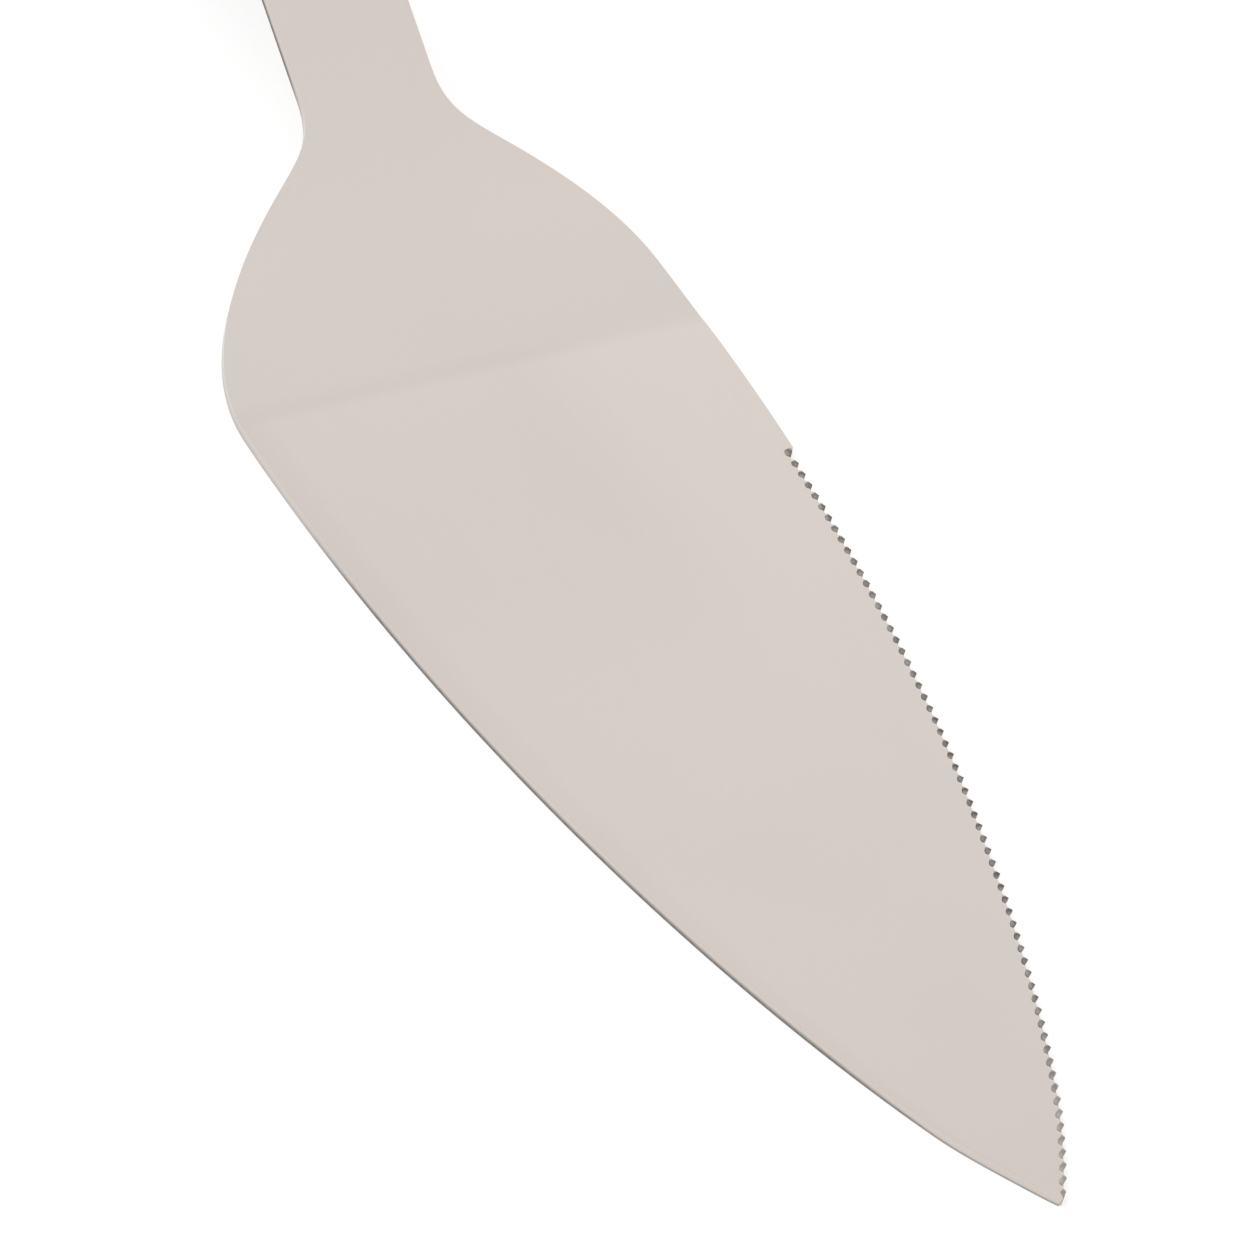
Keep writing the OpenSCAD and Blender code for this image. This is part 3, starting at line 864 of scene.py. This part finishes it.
def polished_blade_steel():
    """Stainless sheet under an even polish, with fine lines along the blade. The hollows and walls of
    the teeth are duller, and painted dark as shade and reflection with a lighter painted middle; the
    rim is duller, and darker partly by its rough cut face and partly by painted shade."""
    material, tree, shader = nodes_of("polished_blade_steel")
    plain = grained(tree, (1.0, 1.0, 1.0))
    is_ground_or_painted_dark, is_rim = attribute(tree, "ground"), attribute(tree, "rim")
    # Painted shade and reflection: dark in the hollows and on the teeth's walls, with lighter painted
    # middles
    ground = blended(tree, attribute(tree, "light"), (0.14, 0.125, 0.112, 1), (0.44, 0.41, 0.38, 1))
    # The rim: the dull grain of its cut face, darkened further by painted shade
    grain = spread(tree, noise(tree, plain, scale=1500.0), 0.3, 0.7, 0.0, 1.0)
    sheared_and_painted_shade = blended(tree, grain, (0.145, 0.136, 0.122, 1), (0.195, 0.186, 0.17, 1))
    colour = blended(tree, is_ground_or_painted_dark, polished_tone(tree, plain), ground)
    colour = blended(tree, is_rim, colour, sheared_and_painted_shade)
    tree.links.new(colour, shader.inputs["Base Color"])
    lines = noise(tree, grained(tree, (60.0, 2600.0, 600.0)), detail=3.0, roughness=0.6)
    polish = spread(tree, lines, 0.3, 0.7, 0.15, 0.2)
    worked = arithmetic(tree, "MAXIMUM", is_ground_or_painted_dark, is_rim)
    dull = arithmetic(tree, "MULTIPLY_ADD", worked, GROUND_DULLNESS, polish)
    tree.links.new(dull, shader.inputs["Roughness"])
    relief(tree, shader, lines, strength=0.06, distance=0.02)
    shader.inputs["Metallic"].default_value = 1.0
    return material


def turned_steel(name, tint, line_pitch):
    """Bright turned steel: fine rings round each head's axis, a sine of the distance to it, uneven by
    a cloudy pattern."""
    material, tree, shader = nodes_of(name)
    clouds = noise(tree, grained(tree, (1.0, 1.0, 1.0)), scale=260.0)
    shade = [channel * CLOUD_SHADE for channel in tint]
    colour = blended(tree, spread(tree, clouds, 0.3, 0.7, 0.0, 1.0), (*shade, 1), (*tint, 1))
    tree.links.new(colour, shader.inputs["Base Color"])
    tree.links.new(spread(tree, clouds, 0.3, 0.7, 0.16, 0.24), shader.inputs["Roughness"])
    turns = arithmetic(tree, "MULTIPLY", attribute(tree, "from_axis"), 2 * math.pi / line_pitch)
    rings = arithmetic(tree, "MULTIPLY", arithmetic(tree, "SINE", turns), clouds)
    relief(tree, shader, rings, strength=0.1, distance=0.02)
    shader.inputs["Metallic"].default_value = 1.0
    return material


def oiled_hardwood():
    """Dark hardwood with its grain along the handle: wavy growth bands, long fibres and open pores."""
    material, tree, shader = nodes_of("oiled_hardwood")
    turn = -HANDLE_ANGLE
    wander = noise(tree, grained(tree, (9.0, 60.0, 60.0), turn))
    shift = add(tree, "ShaderNodeVectorMath", {"operation": "SCALE"}, i0=(0.0, 2.2, 1.4), Scale=wander)
    place = grained(tree, (14.0, 210.0, 330.0), turn)
    swayed = add(tree, "ShaderNodeVectorMath", {"operation": "ADD"}, i0=place, i1=shift.outputs[0])
    bands = noise(tree, swayed.outputs[0], detail=4.0, roughness=0.55, distortion=0.6)
    fibres = noise(tree, grained(tree, (90.0, 2400.0, 2400.0), turn), detail=4.0, roughness=0.65)
    pores = noise(tree, grained(tree, (260.0, 4200.0, 4200.0), turn), detail=1.0, roughness=0.4)
    growth = ramp(
        tree,
        bands,
        (0.28, (0.030, 0.012, 0.007, 1)),
        (0.43, (0.088, 0.036, 0.018, 1)),
        (0.55, (0.150, 0.064, 0.031, 1)),
        (0.70, (0.225, 0.104, 0.050, 1)),
    )
    fibre = spread(tree, fibres, 0.3, 0.72, 0.62, 1.12)
    streaked = blended(tree, 1.0, growth, fibre, "MULTIPLY")
    pore = spread(tree, pores, 0.64, 0.72, 0.0, 1.0)
    colour = blended(tree, pore, streaked, (0.012, 0.006, 0.004, 1))
    tree.links.new(colour, shader.inputs["Base Color"])
    tree.links.new(spread(tree, fibres, 0.3, 0.7, 0.5, 0.36), shader.inputs["Roughness"])
    relief(tree, shader, arithmetic(tree, "SUBTRACT", fibres, pore), strength=0.5, distance=0.06)
    shader.inputs["Coat Weight"].default_value = 0.06
    shader.inputs["Coat Roughness"].default_value = 0.3
    shader.inputs["Specular IOR Level"].default_value = 0.34
    return material


def make_blade(material):
    """The bent sheet as one lofted skin, drilled for the rivets and the eyelet."""
    run = blade_runs()
    y, height, ground, light, rim = blade_sections(run)
    points = with_middles(placed(run[:, None], y, height))
    mesh = new_mesh("polished_blade", points, capped_faces(*y.shape), BLADE_CREASE)
    for name, values in (("ground", ground), ("light", light), ("rim", rim)):
        add_attribute(mesh, name, with_middles(values))
    piece = new_piece("polished_blade", mesh, material, "blade_steel", "blade")
    holes = [(place, x, TUBE_R) for place, x in RIVET_XS.items()] + [("eyelet", EYELET_X, EYELET_R)]
    tools = []
    for place, x, radius in holes:
        tools.append(cutter("hole_" + place, solid_profile(radius + HOLE_FIT, -SHEET_T, 2 * SHEET_T), x))
    drill(piece, tools)
    return piece


def make_scale(name, material, upper):
    """A handle scale: superellipse sections along the handle, flat against the tang, drilled and spot
    faced for the rivets and the eyelet."""
    x = HANDLE_L * (1 - np.cos(np.linspace(0, np.pi, SCALE_STATIONS))) / 2
    x[-1] = HANDLE_L * HANDLE_END_SHARE
    half, top = scale_half(x)[:, None], scale_height(x)[:, None]
    turns = np.linspace(np.pi, 0, SCALE_COLUMNS)
    across, up = np.cos(turns), np.sin(turns)
    arris = np.minimum(SCALE_ARRIS, top * SCALE_ARRIS_SHARE)
    y = half * np.sign(across) * np.abs(across) ** (2 / SECTION_POWER)
    h = np.maximum(top * np.abs(up) ** (2 / SECTION_POWER), arris)
    y = np.concatenate([y, (half - arris) * SCALE_UNDER_SHARES[::-1]], axis=1)
    h = np.concatenate([h, 0 * half * SCALE_UNDER_SHARES], axis=1)
    points = on_handle(x[:, None], y, SHEET_T + h) if upper else on_handle(x[:, None], y, -h)[:, ::-1]
    mesh = new_mesh(name, points, loft_faces(*y.shape), SCALE_CREASE)
    piece = new_piece(name, mesh, material, "scale_wood", "scale_upper" if upper else "scale_lower")
    seats = [(place, TUBE_R, HEAD_R, HEAD_SINK) for place in RIVET_XS.values()]
    seats.append((EYELET_X, EYELET_R, EYELET_RIM_R, RIM_SINK))
    tools = []
    for number, (place, hole_r, face_r, sink) in enumerate(seats):
        small, large, out = hole_r + HOLE_FIT, face_r + HOLE_FIT, 2 * SCALE_BELLY_T
        seat = seat_height(place, sink)
        profile = np.array(
            [[AXIS_GAP, out], [large, out], [large, seat], [small, seat], [small, -out], [AXIS_GAP, -out]]
        )
        profile = profile + (0, SHEET_T) if upper else profile[::-1] * (1, -1)
        tools.append(cutter(f"{name}_hole_{number}", profile, place))
    drill(piece, tools)
    return piece


def seat_height(place, sink):
    """Height over the tang of the flat that a head or a rim sits on, sunk into the scale's crown."""
    return float(scale_height(np.array(place))) - sink


def head_profile():
    """Half profile of a rivet head from its crown outwards: a low dome, the cap of a ball, a small
    round bevel and a short rim."""
    dome_r = (HEAD_R ** 2 + HEAD_DOME ** 2) / (2 * HEAD_DOME)
    radius = np.concatenate([[AXIS_GAP], np.linspace(0, HEAD_R - HEAD_BEVEL, HEAD_COLUMNS)[1:]])
    height = HEAD_SINK + HEAD_DOME - dome_r + np.sqrt(dome_r ** 2 - radius ** 2)
    bevel_r = HEAD_R - HEAD_BEVEL * (1 - np.sin(BEVEL_TURNS))
    bevel_h = height[-1] - HEAD_BEVEL * (1 - np.cos(BEVEL_TURNS))
    dome, bevel = np.stack([radius, height], axis=1), np.stack([bevel_r, bevel_h], axis=1)
    return np.concatenate([dome, bevel, [[HEAD_R, 0.0]]])


def make_rivet(place, x, material):
    """Both halves of one cutler's rivet: the pin comes down from above into the blind tube."""
    seat = seat_height(x, HEAD_SINK)
    pin_l = 2 * seat + SHEET_T - TUBE_FLOOR - PIN_END_GAP
    pin = np.concatenate([head_profile(), [[PIN_R, 0.0], [PIN_R, -pin_l], [AXIS_GAP, -pin_l]]])
    tube_l = 2 * seat + SHEET_T - TUBE_END_GAP
    bore = PIN_R + PIN_FIT
    tube = np.array(
        [[TUBE_R, 0.0], [TUBE_R, -tube_l], [bore, -tube_l], [bore, -TUBE_FLOOR], [AXIS_GAP, -TUBE_FLOOR]]
    )
    tube = np.concatenate([head_profile(), tube]) * (1, -1)
    for half, profile in (("pin", pin + (0, SHEET_T + seat)), ("tube", tube[::-1] - (0, seat))):
        node = f"rivet_{place}_{half}"
        turned_piece(node + "_turned", profile, x, material, "rivet_steel", node)


def make_eyelet(material):
    """The tubular eyelet: its bore, and a half round rim rolled over at each end."""
    seat = seat_height(EYELET_X, RIM_SINK)
    rim_r = (EYELET_RIM_R - EYELET_BORE_R) / 2
    rim_x, rim_h = EYELET_BORE_R + rim_r + rim_r * np.cos(RIM_TURNS), seat + rim_r * np.sin(RIM_TURNS)
    top, foot = np.stack([rim_x, SHEET_T + rim_h], axis=1), np.stack([rim_x, -rim_h], axis=1)[::-1]
    profile = np.concatenate([top, [[EYELET_R, SHEET_T + seat], [EYELET_R, -seat]], foot])
    names = ("eyelet_steel", "hanging_eyelet")
    turned_piece("rolled_eyelet", profile, EYELET_X, material, *names, EYELET_SEGMENTS, closed=True)


def make_camera():
    """The camera of the photograph: it looks at the blade from the plain side and from above, rolled."""
    back = np.array(
        [
            math.sin(CAMERA_AZIMUTH) * math.cos(CAMERA_ELEVATION),
            -math.cos(CAMERA_AZIMUTH) * math.cos(CAMERA_ELEVATION),
            math.sin(CAMERA_ELEVATION),
        ]
    )
    level = np.array([math.cos(CAMERA_AZIMUTH), math.sin(CAMERA_AZIMUTH), 0.0])
    above = np.cross(level, -back)
    right = level * math.cos(CAMERA_ROLL) + above * math.sin(CAMERA_ROLL)
    up = above * math.cos(CAMERA_ROLL) - level * math.sin(CAMERA_ROLL)
    data = bpy.data.cameras.new("camera")
    data.sensor_width = SENSOR
    data.lens = SENSOR * PX_PER_MM * CAMERA_DISTANCE / FRAME_PX
    data.clip_start, data.clip_end = CAMERA_NEAR * MM, CAMERA_FAR * MM
    camera = bpy.data.objects.new("camera", data)
    place = (TARGET + back * CAMERA_DISTANCE) * MM
    columns = np.eye(4)
    columns[:3, 0], columns[:3, 1], columns[:3, 2], columns[:3, 3] = right, up, back, place
    camera.matrix_world = Matrix(columns.tolist())
    bpy.context.scene.collection.objects.link(camera)
    bpy.context.scene.camera = camera


def seen_directly(tree):
    """One where a camera, glossy or transmission ray looks, so that metal shows the background too."""
    path = add(tree, "ShaderNodeLightPath")
    both = arithmetic(tree, "MAXIMUM", path.outputs["Is Camera Ray"], path.outputs["Is Glossy Ray"])
    return arithmetic(tree, "MAXIMUM", both, path.outputs["Is Transmission Ray"])


def make_world():
    """White behind everything, which metal mirrors with a soft change at the wall's edge; plain soft
    light from all sides on matt surfaces."""
    world = bpy.data.worlds.new("studio")
    bpy.context.scene.world = world
    world.use_nodes = True
    tree = world.node_tree
    glossy = add(tree, "ShaderNodeLightPath").outputs["Is Glossy Ray"]
    way = add(tree, "ShaderNodeTexCoord").outputs["Generated"]
    height = add(tree, "ShaderNodeSeparateXYZ", Vector=way).outputs["Z"]
    wall = spread(tree, height, *WALL_EDGE, WALL_GLOW, -WALL_GLOW)
    glow = arithmetic(tree, "MULTIPLY_ADD", wall, glossy, 1.0)
    white = add(tree, "ShaderNodeBackground", Color=(1, 1, 1, 1), Strength=glow)
    soft = add(tree, "ShaderNodeBackground", Color=(1, 1, 1, 1), Strength=AMBIENT)
    both = add(tree, "ShaderNodeMixShader", i0=seen_directly(tree), i1=soft.outputs[0], i2=white.outputs[0])
    tree.links.new(both.outputs[0], tree.nodes["World Output"].inputs["Surface"])


def make_sun():
    """One wide soft lamp from the plain side."""
    data = bpy.data.lights.new("soft_sun", "SUN")
    data.energy = SUN_STRENGTH
    data.angle = SUN_ANGLE
    lamp = bpy.data.objects.new("soft_sun", data)
    lamp.rotation_euler = SUN_TILT
    lamp.visible_glossy = False
    bpy.context.scene.collection.objects.link(lamp)


def make_floor():
    """A plain white floor that keeps a soft shadow: partly matt, partly white of itself to the camera."""
    sides = ((-1, -1), (1, -1), (1, 1), (-1, 1))
    corners = [(FLOOR_HALF * x * MM, FLOOR_HALF * y * MM, -FLOOR_DROP * MM) for x, y in sides]
    mesh = bpy.data.meshes.new("floor")
    mesh.from_pydata(corners, [], [(0, 1, 2, 3)])
    material, tree, shader = nodes_of("floor_white")
    tree.nodes.remove(shader)
    matt = add(tree, "ShaderNodeBsdfDiffuse", Color=(FLOOR_MATT, FLOOR_MATT, FLOOR_MATT, 1))
    paper = add(tree, "ShaderNodeBsdfDiffuse", Color=(FLOOR_PAPER, FLOOR_PAPER, FLOOR_PAPER, 1))
    glow = add(tree, "ShaderNodeEmission", Color=(1, 1, 1, 1), Strength=FLOOR_GLOW)
    shown = add(tree, "ShaderNodeAddShader", i0=matt.outputs[0], i1=glow.outputs[0])
    seen = seen_directly(tree)
    both = add(tree, "ShaderNodeMixShader", i0=seen, i1=paper.outputs[0], i2=shown.outputs[0])
    tree.links.new(both.outputs[0], tree.nodes["Material Output"].inputs["Surface"])
    mesh.materials.append(material)
    floor = bpy.data.objects.new("floor", mesh)
    bpy.context.scene.collection.objects.link(floor)


make_camera()
make_world()
make_sun()
make_floor()
make_blade(polished_blade_steel())
wood = oiled_hardwood()
make_scale("scale_upper_oiled", wood, upper=True)
make_scale("scale_lower_oiled", wood, upper=False)
rivet_steel = turned_steel("turned_rivet_steel", (0.62, 0.60, 0.57), 0.22)
for place, x in RIVET_XS.items():
    make_rivet(place, x, rivet_steel)
make_eyelet(turned_steel("rolled_eyelet_steel", (0.64, 0.61, 0.57), 0.35))

bpy.context.scene.view_settings.view_transform = "Standard"
